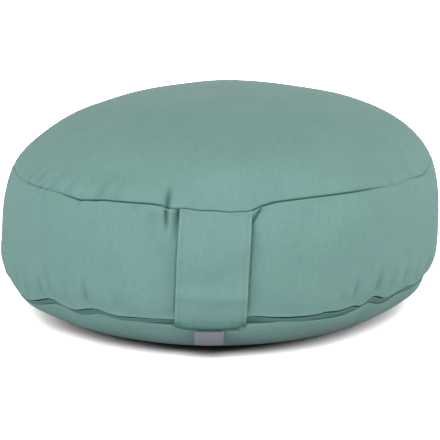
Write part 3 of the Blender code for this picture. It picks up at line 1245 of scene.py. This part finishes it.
@dataclass(frozen=True)
class Strap:
    """The section of a flat strap with rounded long edges, walked once round.

    Args:
        width: the strap's full width.
        thickness: its full thickness.
        cells: how many cells the flat part of each face has.
        turns: how many cells each rounded edge has, an even number.
    """

    width: float
    thickness: float
    cells: int = 26
    turns: int = 8

    def section(self) -> tuple[np.ndarray, np.ndarray]:
        """Walks the section from the left edge over the outer face to the right edge and back.

        Returns:
            Each point's distance across, and its distance out.
        """
        half, edge = self.thickness / 2, self.width / 2 - self.thickness / 2
        left = np.radians(np.linspace(180, 90, self.turns // 2 + 1))[:-1]
        right = np.radians(np.linspace(90, 0, self.turns // 2 + 1))[1:]
        flat = np.linspace(-edge, edge, self.cells + 1)
        across = np.concatenate([-edge + half * np.cos(left), flat, edge + half * np.cos(right)])
        out = np.concatenate([half * np.sin(left), np.full(len(flat), half), half * np.sin(right)])
        return np.concatenate([across, across[-2:0:-1]]), np.concatenate([out, -out[-2:0:-1]])

    @staticmethod
    def carried(
        name: str,
        points: np.ndarray,
        flat: tuple[np.ndarray, np.ndarray],
        painted_light: np.ndarray,
        finish: bpy.types.Material,
        leftwards: bool = False,
    ) -> bpy.types.Object:
        """Makes a piece from its sections, carried along their path.

        Args:
            name: the piece's name.
            points: a row of points for each section.
            flat: where each point lies on the flat cloth, as u and v.
            painted_light: each point's painted highlight or painted shade.
            finish: the piece's material.
            leftwards: whether the path leads the other way round, so that the faces are turned.

        Returns:
            The dressed piece.
        """
        rows, loop = points.shape[:2]
        step = -1 if leftwards else 1
        piece = mesh_object(name, points, [face[::step] for face in strip_faces(rows, loop)])
        vertex, _ = corners(piece.data)
        u, v = (np.broadcast_to(value, (rows, loop)).ravel() for value in flat)
        dress(piece, np.stack([u, v], -1)[vertex], np.broadcast_to(painted_light, (rows, loop)).ravel(), finish)
        return piece


@dataclass(frozen=True)
class Handle:
    """The carrying handle: one flat strap of folded cloth over the band, sewn in at the top and foot seams.

    Its edge fold is the soft hollow down its left side: size in millimetres, place across and reach, place
    along and reach. The foot shade is painted shade along its lower edge: how dark, and over what share of
    its height. The top length is the share of the tuck's length by which its top is already turned in at the
    seam.
    """

    form: CushionForm
    thickness: float = 1.8 * MM
    gap: float = 1.0 * MM
    bow: float = 2.6 * MM
    foot_gap: float = -1.2 * MM
    top_gap: float = 0.1 * MM
    rows: int = 96
    even_rows: float = 0.45
    tuck: float = 2.2 * MM
    tuck_length: float = 0.018
    top_length: float = 0.7
    top_tuck: float = 2.5 * MM
    top_reach: float = 6 * MM
    thin: float = 0.45
    slack: float = 0.5 * MM
    skew: float = -0.6 * MM
    fold_free: float = 0.2
    edge_fold: tuple[float, ...] = (0.5, 0.08, 0.07, 0.55, 0.3)
    # Painted highlight along each long edge, with painted shade a little inside it.
    edge_painted_light: tuple[PaintedLightLine, ...] = (
        PaintedLightLine(0.22, 0.5 * MM, 0.5 * MM),
        PaintedLightLine(-0.12, 2.6 * MM, 0.7 * MM),
    )
    # Painted shade along the lower edge: how dark, and over what share of the height.
    foot_shade: tuple[float, float] = (1.1, 0.05)
    cloth_at: tuple[float, float] = (0.1, 0.6)

    def folds(self, across: np.ndarray, along: np.ndarray) -> np.ndarray:
        """The strap's soft folds: bells about slanting lines, less a hollow down its left edge.

        It bows out below its top, falls away along a slanting line at its middle, and swells again near its
        foot.

        Args:
            across: the share of the way from its left edge to its right.
            along: the share of the way from its foot up.

        Returns:
            How far it stands out.
        """
        out = sum(f.size * bell(along + f.slant * (across - 0.5) - f.at, f.reach) for f in HANDLE_FOLDS)
        size, aside, aside_reach, up, up_reach = self.edge_fold
        return (out - size * bell(across - aside, aside_reach) * bell(along - up, up_reach)) * MM

    def build(self, finish: bpy.types.Material) -> bpy.types.Object:
        """Builds the strap over the settled form.

        Height runs from the bowed foot edge to the top seam; the bearing is the distance across over the
        radius there; the distance out is the gap, the folds and the section, less a tuck at both ends.

        Args:
            finish: the cotton's material.

        Returns:
            The dressed handle.
        """
        form = self.form
        across, out = Strap(form.handle_width, self.thickness).section()
        along = (1 - np.cos(np.linspace(0, math.pi, self.rows))) / 2
        along = (1 - self.even_rows) * along + self.even_rows * np.linspace(0, 1, self.rows)
        share, along = np.meshgrid(across / form.handle_width + 0.5, along)
        foot = form.foot_seam_height + self.foot_gap - self.bow * (1 - (2 * share - 1) ** 4)
        height = foot + (form.top_seam_height - self.top_gap - foot) * along
        aside = across + self.skew * (1 - along)
        bearing = form.handle_bearing + np.degrees(aside / form.outline_radius(height))
        from_end = np.minimum(along, self.top_length * self.tuck_length + 1 - along)
        inside = smooth_step(from_end, 0, self.tuck_length)
        lift = self.gap + self.thickness / 2 + self.slack * np.sin(math.pi * along)
        lift = lift + self.folds(share, along) * smooth_step(np.minimum(along, 1 - along), 0, self.fold_free)
        lift = lift - self.tuck * (1 - inside) * (along < 0.5)
        top = form.top_seam_height
        lift = lift - self.top_tuck * smooth_step(height, top - self.top_reach, top)
        radius = form.outline_radius(height) + lift + out * (self.thin + (1 - self.thin) * inside)
        points = form.settle(bearing, radius, height)
        # Painted highlight and shade along the long edges, and painted shade along the lower edge.
        strength, reach = self.foot_shade
        painted_light = painted_light_lines(form.handle_width / 2 - np.abs(across), self.edge_painted_light)
        painted_light = painted_light * inside - strength * bell(along, reach)
        flat = (across + self.cloth_at[0], along * (top - form.foot_seam_height) + self.cloth_at[1])
        return Strap.carried("carry_handle", points, flat, painted_light, finish)


@dataclass(frozen=True)
class ZipTape:
    """The strip of zip tape that shows in the channel, all round but for the handle.

    The two shades are painted shadow taken off the colour: the line under the hem, and how much darker that
    is at the left. Places on the tape are distances below the hem.
    """

    form: CushionForm
    columns: int = 720
    gap_degrees: float = 2.5
    outer: float = -1.3 * MM
    rise: float = 0.85 * MM
    thickness: float = 1.0 * MM
    top_clearance: float = 0.1 * MM
    low_clearance: float = 0.35 * MM
    ridge: float = 0.35 * MM
    ridge_at: float = 2.3 * MM
    ridge_width: float = 0.45 * MM
    sunk_by_handle: float = 0.8 * MM
    sunk_at: float = 9.5
    sunk_reach: float = 6.0
    # Painted shadow under the hem, deeper at the left; a painted shade line low on the tape; a painted
    # highlight on the ridge.
    hem_shade: PaintedLightLine = PaintedLightLine(1.6, 0.9 * MM, 0.95 * MM)
    left_shade: Swell = Swell(-28.0, 1.4, 26.0)
    low_painted_shade: tuple[PaintedLightLine, ...] = (PaintedLightLine(-0.25, 3.1 * MM, 0.4 * MM),)
    ridge_highlight: float = 0.8

    def build(self, finish: bpy.types.Material) -> bpy.types.Object:
        """Builds the tape: its section carried round the channel, as wide as the hem leaves it.

        The outer face has a ridge a little below the hem, where the tape turns over the closed zip.

        Args:
            finish: the tape's material.

        Returns:
            The dressed tape.
        """
        form, shade = self.form, self.hem_shade
        across, out = Strap(form.foot - form.fold, self.thickness, cells=18, turns=6).section()
        bearing = np.linspace(self.gap_degrees, 360 - self.gap_degrees, self.columns) + form.handle_bearing
        share, bearing = np.meshgrid(across / (form.foot - form.fold) + 0.5, bearing)
        top = form.fold + self.top_clearance - form.hem(bearing)
        along = top + (form.foot - self.low_clearance - top) * share
        down = along - top
        ridge = bell(down - self.ridge_at, self.ridge_width) * (out > 0)
        beside = np.abs(bearing_between(bearing, form.handle_bearing)) - self.sunk_at
        sunk = self.sunk_by_handle * bell(beside, self.sunk_reach)
        offset = self.outer + self.rise * share - self.thickness / 2 + out + self.ridge * ridge - sunk
        points = form.surface(bearing, along, offset)
        # Painted shadow under the hem, darker at the left, a painted highlight on the ridge and a painted
        # shade line below it.
        strength = shade.strength + sum_of_swells(bearing, (self.left_shade,))
        painted_light = self.ridge_highlight * ridge - strength * bell(down - shade.at, shade.width)
        painted_light = painted_light + painted_light_lines(down, self.low_painted_shade)
        flat = (form.belly_radius * np.radians(bearing), down)
        return Strap.carried("zip_tape_strip", points, flat, painted_light, finish, leftwards=True)


@dataclass(frozen=True)
class Label:
    """The small folded label that hangs from the foot seam below the handle, left bare.

    Its fold highlight is a highlight painted on the fold: how pale, and over what share of the length. Its
    seam shade is painted shade under the handle: how dark, and from what share of the length up.
    """

    form: CushionForm
    width: float = 22 * MM
    length: float = 12 * MM
    bearing: float = -2.0
    thickness: float = 1.2 * MM
    gap: float = 0.4 * MM
    turned_in: float = 6.0 * MM
    below_seam: float = 2.8 * MM
    rows: int = 26
    bow: float = 0.5 * MM
    seam_tuck: float = 0.9 * MM
    tucked_from: float = 0.88
    seam_thin: float = 0.55
    thin_from: float = 0.85
    fold_length: float = 0.07
    fold_thin: float = 0.15
    # Painted highlights on the rounded edges and the fold; painted shade where it runs under the handle.
    edge_painted_light: tuple[PaintedLightLine, ...] = (PaintedLightLine(0.6, 0.4 * MM, 0.5 * MM),)
    fold_highlight: tuple[float, float] = (0.5, 0.05)
    seam_shade: tuple[float, float] = (0.8, 0.84)

    def build(self, finish: bpy.types.Material) -> bpy.types.Object:
        """Builds the label: it hangs from the seam and turns in with the cushion by the square of its drop.

        Args:
            finish: the label's material.

        Returns:
            The dressed label.
        """
        form = self.form
        across, out = Strap(self.width, self.thickness, cells=18, turns=6).section()
        share, along = np.meshgrid(across / self.width + 0.5, np.linspace(0, 1, self.rows))
        thin = 1 - self.seam_thin * smooth_step(along, self.thin_from, 1)
        round_in = ((self.fold_length - along) / self.fold_length).clip(0, 1)
        fold = np.sqrt(np.clip(1 - round_in**2, 0, 1))
        height = form.foot_seam_height - self.below_seam - self.length * (1 - along)
        height = height - self.bow * np.sin(math.pi * share.clip(0, 1)) * (1 - along)
        seam_radius = form.outline_radius(form.foot_seam_height)
        bearing = self.bearing + np.degrees(across / seam_radius)
        radius = seam_radius + self.gap + self.thickness / 2 - self.turned_in * (1 - along) ** 2
        radius = radius + out * thin * (self.fold_thin + (1 - self.fold_thin) * fold)
        radius = radius - self.seam_tuck * smooth_step(along, self.tucked_from, 1)
        points = form.settle(bearing, radius, height)
        # Painted highlights on the edges and the fold, painted shade where it runs under the handle.
        pale, reach = self.fold_highlight
        dark, start = self.seam_shade
        painted_light = painted_light_lines(self.width / 2 - np.abs(across), self.edge_painted_light) + pale * bell(along, reach)
        painted_light = painted_light - dark * smooth_step(along, start, 1)
        return Strap.carried("side_label", points, (across, along * self.length), painted_light, finish)


class Nodes:
    """A material's node tree, with short calls that add nodes and link them."""

    def __init__(self, name: str) -> None:
        """Makes the material, with its surface shader at hand."""
        self.material = bpy.data.materials.new(name)
        self.material.use_nodes = True
        self.tree = self.material.node_tree
        self.shader = next(n for n in self.tree.nodes if n.type == "BSDF_PRINCIPLED")

    def add(self, kind: str, inputs: Optional[dict] = None, **settings: object) -> bpy.types.Node:
        """Adds a node.

        Args:
            kind: the node's type name.
            inputs: a number, a colour or another node's output for each input socket.
            settings: the node's own properties.

        Returns:
            The node.
        """
        node = self.tree.nodes.new(kind)
        for key, value in settings.items():
            setattr(node, key, value)
        for key, value in (inputs or {}).items():
            if isinstance(value, bpy.types.NodeSocket):
                self.tree.links.new(value, node.inputs[key])
            else:
                node.inputs[key].default_value = value
        return node

    def math(self, operation: str, first: object, second: object = 0.0) -> bpy.types.NodeSocket:
        """The result of a Math node on two numbers or outputs."""
        return self.add("ShaderNodeMath", {0: first, 1: second}, operation=operation).outputs[0]

    def noise(
        self, vector: bpy.types.NodeSocket, scale: Vector3, detail: float, rough: float
    ) -> bpy.types.NodeSocket:
        """A noise from 0 to 1 on a vector.

        Args:
            vector: the coordinates.
            scale: how many times a metre it changes along each axis.
            detail: how many finer octaves it has.
            rough: how strong they are.

        Returns:
            The noise's value.
        """
        mapped = self.add("ShaderNodeMapping", {"Vector": vector, "Scale": scale})
        inputs = {"Vector": mapped.outputs[0], "Scale": 1.0, "Detail": detail, "Roughness": rough}
        return self.add("ShaderNodeTexNoise", inputs).outputs["Fac"]

    def mix(self, share: object, first: object, second: object, blend: str = "MIX") -> bpy.types.NodeSocket:
        """The result of a colour Mix node."""
        inputs = {0: share, 6: first, 7: second}
        return self.add("ShaderNodeMix", inputs, data_type="RGBA", blend_type=blend).outputs[2]

    def ranged(self, value: object, *ends: float) -> bpy.types.NodeSocket:
        """A value carried from a range (low, high) to another (low, high), and kept inside it."""
        return self.add("ShaderNodeMapRange", {0: value, **dict(enumerate(ends, 1))}).outputs[0]


@dataclass(frozen=True)
class WovenFinish:
    """A woven cloth: threads over and under each other, slubs along the warp, faint mottling, and painted
    shade and highlight.

    Args:
        name: the material's name.
        colour: the dyed cloth.
        shaded: its colour painted as shade down in seams, creases and shadows.
        pale: its colour painted as a highlight along lit edges and ridges.
        thread: the distance between threads, in metres.
        thread_height: how far the threads stand up, in metres.
        slub: the share by which single threads differ in tone.
        mottle: the share by which broad patches differ in tone.
        ribbed: whether only the weft stands up, as on tape and ribbon.
        roughness: the shader's roughness.
        sheen: the strength of its short fibres' sheen.
        warp_slubs: how many times a metre the tone changes across and along the warp's threads.
        weft_slubs: the same for the weft's.
        patches: the same for the broad patches.
        cross: the weft slubs' strength beside the warp's.
        weave_painted_shade: the share by which a thread's top is painted paler than its edge, a painted
            shade of the weave's relief.
        slub_relief: how high the slubs stand beside the threads.
        relief: the strength of the threads' bump.
        specular: the shader's specular level.
        sheen_roughness: how soft the sheen is.
        sheen_tint: its colour.
    """

    name: str
    colour: Colour
    shaded: Colour
    pale: Colour
    thread: float = 0.55 * MM
    thread_height: float = 0.10 * MM
    slub: float = 0.07
    mottle: float = 0.045
    ribbed: bool = False
    roughness: float = 0.86
    sheen: float = 0.12
    warp_slubs: Vector3 = (1000.0, 75.0, 1.0)
    weft_slubs: Vector3 = (85.0, 900.0, 1.0)
    patches: Vector3 = (34.0, 24.0, 1.0)
    cross: float = 0.8
    weave_painted_shade: float = 0.03
    slub_relief: float = 0.6
    relief: float = 0.6
    specular: float = 0.25
    sheen_roughness: float = 0.45
    sheen_tint: Colour = (0.86, 0.92, 0.93)

    def material(self) -> bpy.types.Material:
        """Builds the material on the piece's own cloth UV map and its attribute of painted shade and
        highlight.

        Returns:
            The material.
        """
        nodes = Nodes(self.name)
        place = nodes.add("ShaderNodeUVMap", uv_map=UV_NAME).outputs[0]
        axes = nodes.add("ShaderNodeSeparateXYZ", {0: place}).outputs
        weave = self.weave(nodes, axes)
        slubs = nodes.noise(place, self.warp_slubs, 3.0, 0.65)
        cross = nodes.noise(place, self.weft_slubs, 3.0, 0.65)
        patches = nodes.noise(place, self.patches, 4.0, 0.6)
        tone = nodes.ranged(slubs, 0.25, 0.75, 1 - self.slub, 1 + self.slub)
        # Slubs and patches vary the tone at random; the weave's tone is a faint painted shade of its relief.
        for value, low, high, share in (
            (cross, 0.25, 0.75, self.slub * self.cross),
            (patches, 0.2, 0.8, self.mottle),
            (weave, 0.0, 1.0, self.weave_painted_shade),
        ):
            tone = nodes.math("MULTIPLY", tone, nodes.ranged(value, low, high, 1 - share, 1 + share))
        # Below 0 the attribute mixes in painted shade (the shaded colour), above 0 a painted highlight (the
        # pale one).
        painted_light = nodes.add("ShaderNodeAttribute", attribute_name=PAINTED_LIGHT_NAME).outputs["Fac"]
        depth = nodes.ranged(painted_light, 0.0, -1.0, 0.0, 1.0)
        painted_highlight = nodes.ranged(painted_light, 0.0, 1.0, 0.0, 1.0)
        colour = nodes.mix(depth, (*self.colour, 1.0), (*self.shaded, 1.0))
        colour = nodes.mix(painted_highlight, colour, (*self.pale, 1.0))
        colour = nodes.mix(1.0, colour, tone, "MULTIPLY")
        relief = nodes.math("ADD", weave, nodes.math("MULTIPLY", slubs, self.slub_relief))
        inputs = {"Strength": self.relief, "Distance": self.thread_height, "Height": relief}
        bump = nodes.add("ShaderNodeBump", inputs)
        shader = nodes.shader
        nodes.tree.links.new(colour, shader.inputs["Base Color"])
        nodes.tree.links.new(bump.outputs[0], shader.inputs["Normal"])
        for socket, value in (
            ("Roughness", self.roughness),
            ("Specular IOR Level", self.specular),
            ("Sheen Weight", self.sheen),
            ("Sheen Roughness", self.sheen_roughness),
            ("Sheen Tint", (*self.sheen_tint, 1.0)),
        ):
            shader.inputs[socket].default_value = value
        return nodes.material

    def weave(self, nodes: Nodes, axes: bpy.types.bpy_prop_collection) -> bpy.types.NodeSocket:
        """The weave's height: a sine along U times a sine along V, or ribs across V alone.

        Args:
            nodes: the material's nodes.
            axes: the cloth's U and V.

        Returns:
            The height, from 0 to 1.
        """
        rate = math.pi / self.thread
        down = nodes.math("SINE", nodes.math("MULTIPLY", axes[1], rate))
        if self.ribbed:
            return nodes.ranged(down, -1.0, 1.0, 0.0, 1.0)
        across = nodes.math("SINE", nodes.math("MULTIPLY", axes[0], rate))
        return nodes.ranged(nodes.math("MULTIPLY", across, down), -1.0, 1.0, 0.0, 1.0)


@dataclass(frozen=True)
class FloorFinish:
    """A plain studio sweep with a very faint unevenness, which its own lamp overexposes to white.

    Args:
        name: the material's name.
        dark: its darkest grey.
        light: its lightest grey.
        clouds: how many times a metre it changes along each axis.
        roughness: the shader's roughness.
    """

    name: str
    dark: float
    light: float
    clouds: Vector3 = (3.0, 3.0, 3.0)
    roughness: float = 0.9

    def material(self) -> bpy.types.Material:
        """Builds the material on Object coordinates.

        Returns:
            The material.
        """
        nodes = Nodes(self.name)
        place = nodes.add("ShaderNodeTexCoord").outputs["Object"]
        cloudy = nodes.noise(place, self.clouds, 2.0, 0.5)
        tone = nodes.ranged(cloudy, 0.3, 0.7, self.dark, self.light)
        nodes.tree.links.new(tone, nodes.shader.inputs["Base Color"])
        nodes.shader.inputs["Roughness"].default_value = self.roughness
        nodes.shader.inputs["Specular IOR Level"].default_value = 0.0
        return nodes.material


@dataclass(frozen=True)
class SoftBox:
    """One large round soft lamp that faces the cushion.

    Args:
        name: the lamp's name.
        bearing: the side it stands on, as a bearing in degrees.
        elevation: its height above the horizon, in degrees.
        power: in watts.
        colour: its tint.
        distance: how far it stands from the cushion.
        size: its width.
        aim_height: the height it faces.
    """

    name: str
    bearing: float
    elevation: float
    power: float
    colour: Colour = (1.0, 1.0, 1.0)
    distance: float = 2.3
    size: float = 1.6
    aim_height: float = 0.08

    def build(self) -> None:
        """Adds the lamp, turned from its place to the cushion."""
        lamp = bpy.data.lights.new(self.name, "AREA")
        lamp.shape = "DISK"
        lamp.size = self.size
        lamp.energy = self.power
        lamp.color = self.colour
        side, up = math.radians(self.bearing), math.radians(self.elevation)
        away = Vector((math.sin(side) * math.cos(up), -math.cos(side) * math.cos(up), math.sin(up)))
        made = bpy.data.objects.new(self.name, lamp)
        made.location = Vector((0.0, 0.0, self.aim_height)) + self.distance * away
        made.rotation_euler = away.to_track_quat("Z", "Y").to_euler()
        bpy.context.scene.collection.objects.link(made)


@dataclass(frozen=True)
class FloorLamp:
    """A broad lamp that lights one floor alone, from overhead and a little in front.

    Args:
        name: the lamp's name.
        power: its strength.
        tilt: how far in front it stands, in degrees from overhead.
        spread: how wide it looks from the floor, in degrees.
        bearing: the side it stands on, as a bearing in degrees.
        colour: its tint.
    """

    name: str
    power: float
    tilt: float
    spread: float
    bearing: float = 0.0
    colour: Colour = (1.0, 1.0, 1.0)

    def build(self, floor: bpy.types.Object) -> None:
        """Adds the lamp and links it to the floor it lights.

        Args:
            floor: the floor.
        """
        lamp = bpy.data.lights.new(self.name, "SUN")
        lamp.energy = self.power
        lamp.color = self.colour
        lamp.angle = math.radians(self.spread)
        made = bpy.data.objects.new(self.name, lamp)
        made.rotation_euler = (math.radians(self.tilt), 0.0, math.radians(self.bearing))
        bpy.context.scene.collection.objects.link(made)
        lit = bpy.data.collections.new("lit_by_" + self.name)
        lit.objects.link(floor)
        made.light_linking.receiver_collection = lit


@dataclass(frozen=True)
class Studio:
    """The floor, the soft light and the camera at the photograph's angle."""

    camera_distance: float = 1.62
    camera_elevation: float = 14.0
    camera_centre: float = 72 * MM
    aim: Vector3 = (0.0007, -0.00086, 0.06855)
    focal: float = 160.54
    sensor: float = 36.0
    sight: float = 60.0
    floor_half: float = 8.0
    floor_cells: int = 8
    floor_height: float = -0.2 * MM
    bounce_height: float = -0.1 * MM
    floor_finish: FloorFinish = FloorFinish("pale_floor", 0.098, 0.102)
    floor_lamps: tuple[FloorLamp, ...] = (
        FloorLamp("floor_lamp", 120.0, 20.0, 70.0),
        FloorLamp("floor_left_lamp", 60.0, 52.0, 50.0, -85.0),
        FloorLamp("floor_right_lamp", 66.0, 55.0, 50.0, 85.0),
    )
    bounce_finish: FloorFinish = FloorFinish("floor_bounce", 0.015, 0.015)
    bounce_lamp: FloorLamp = FloorLamp("bounce_lamp", 152.0, 6.0, 140.0, 0.0, (0.98, 1.0, 1.04))
    sky: float = 0.12
    boxes: tuple[SoftBox, ...] = (
        SoftBox("front_box", 0, 15, 12.7),
        SoftBox("overhead_box", 0, 75, 20.8),
        SoftBox("front_left_box", -50, 15, 18.0, (0.96, 0.99, 1.02)),
        SoftBox("front_right_box", 50, 15, 12.8),
        SoftBox("left_box", -90, 10, 5.4),
        SoftBox("right_box", 90, 11, 11.5),
        SoftBox("back_box", 180, 22, 11.0),
        SoftBox("back_left_box", -128, 8, 5.0),
        SoftBox("back_right_box", 128, 8, 9.0),
    )

    def build(self) -> None:
        """Adds the camera, the floor and the lights.

        The floor that shows is far brighter than white, so only its dimmer twin throws light back up.
        """
        self.add_camera()
        floor = self.add_floor("floor", self.floor_height, self.floor_finish)
        floor.visible_diffuse = False
        for lamp in self.floor_lamps:
            lamp.build(floor)
        bounce = self.add_floor("floor_bounce", self.bounce_height, self.bounce_finish)
        bounce.visible_camera = False
        bounce.visible_shadow = False
        self.bounce_lamp.build(bounce)
        world = bpy.data.worlds.new("studio")
        world.use_nodes = True
        sky = next(n for n in world.node_tree.nodes if n.type == "BACKGROUND")
        sky.inputs["Color"].default_value = (1.0, 1.0, 1.0, 1.0)
        sky.inputs["Strength"].default_value = self.sky
        bpy.context.scene.world = world
        for box in self.boxes:
            box.build()
        bpy.context.scene.view_settings.view_transform = "Standard"

    def add_camera(self) -> None:
        """Adds the level camera, looking down at the cushion from the front."""
        angle = math.radians(self.camera_elevation)
        place = Vector((0.0, -self.camera_distance * math.cos(angle), 0.0))
        place.z = self.camera_centre + self.camera_distance * math.sin(angle)
        camera = bpy.data.objects.new("camera", bpy.data.cameras.new("camera"))
        camera.location = place
        camera.rotation_euler = (Vector(self.aim) - place).to_track_quat("-Z", "Y").to_euler()
        camera.data.sensor_width = self.sensor
        camera.data.lens = self.focal
        camera.data.clip_end = self.sight
        bpy.context.scene.collection.objects.link(camera)
        bpy.context.scene.camera = camera

    def add_floor(self, name: str, height: float, finish: FloorFinish) -> bpy.types.Object:
        """Adds a floor, a hair below the cushion's flat bottom.

        Args:
            name: the floor's name.
            height: where it lies.
            finish: its finish.

        Returns:
            The floor.
        """
        count = self.floor_cells + 1
        steps = np.linspace(-self.floor_half, self.floor_half, count)
        x, y = np.meshgrid(steps, steps)
        points = np.stack([x, y, np.full_like(x, height)], axis=-1)
        j = (np.arange(count - 1)[None, :] + count * np.arange(count - 1)[:, None]).ravel()
        floor = mesh_object(name, points, np.stack([j, j + 1, j + count + 1, j + count], -1).tolist())
        floor.data.materials.append(finish.material())
        return floor


# Each finish's colours: the dyed cloth, the colour painted as shade in seams, creases and shadows, and the
# colour painted as highlight on lit edges and ridges.
COTTON = WovenFinish("sage_cotton", (0.190, 0.345, 0.312), (0.040, 0.120, 0.103), (0.30, 0.48, 0.44))
TAPE = WovenFinish(
    "zip_tape_weave",
    (0.105, 0.215, 0.197),
    (0.012, 0.045, 0.040),
    (0.20, 0.36, 0.33),
    thread=0.5 * MM,
    ribbed=True,
    sheen=0.05,
)
RIBBON = WovenFinish(
    "label_ribbon",
    (0.225, 0.240, 0.268),
    (0.060, 0.060, 0.068),
    (0.26, 0.26, 0.28),
    thread=0.4 * MM,
    thread_height=0.06 * MM,
    ribbed=True,
    roughness=0.6,
    sheen=0.08,
)


def place_on_frame(piece: bpy.types.Object, node: str) -> None:
    """Rides a piece on the body in place of its node, and reports it.

    Args:
        piece: the finished piece.
        node: the node it stands for.
    """
    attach(piece, "root")
    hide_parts(node)
    LOG.info("%s: %d vertices, %d faces", piece.name, len(piece.data.vertices), len(piece.data.polygons))


def main() -> None:
    """Builds the studio and then each piece of the cushion, in the order that a maker sews them."""
    logging.basicConfig(level=logging.INFO, format="%(name)s: %(message)s")
    form = CushionForm()
    Studio().build()
    cotton = COTTON.material()
    cover = Cover(form).build(cotton)
    place_on_frame(cover, "cushion")
    handle = Handle(form).build(cotton)
    place_on_frame(handle, "handle")
    tape = ZipTape(form).build(TAPE.material())
    place_on_frame(tape, "zip_tape")
    label = Label(form).build(RIBBON.material())
    place_on_frame(label, "label")


if __name__ == "__main__":
    main()
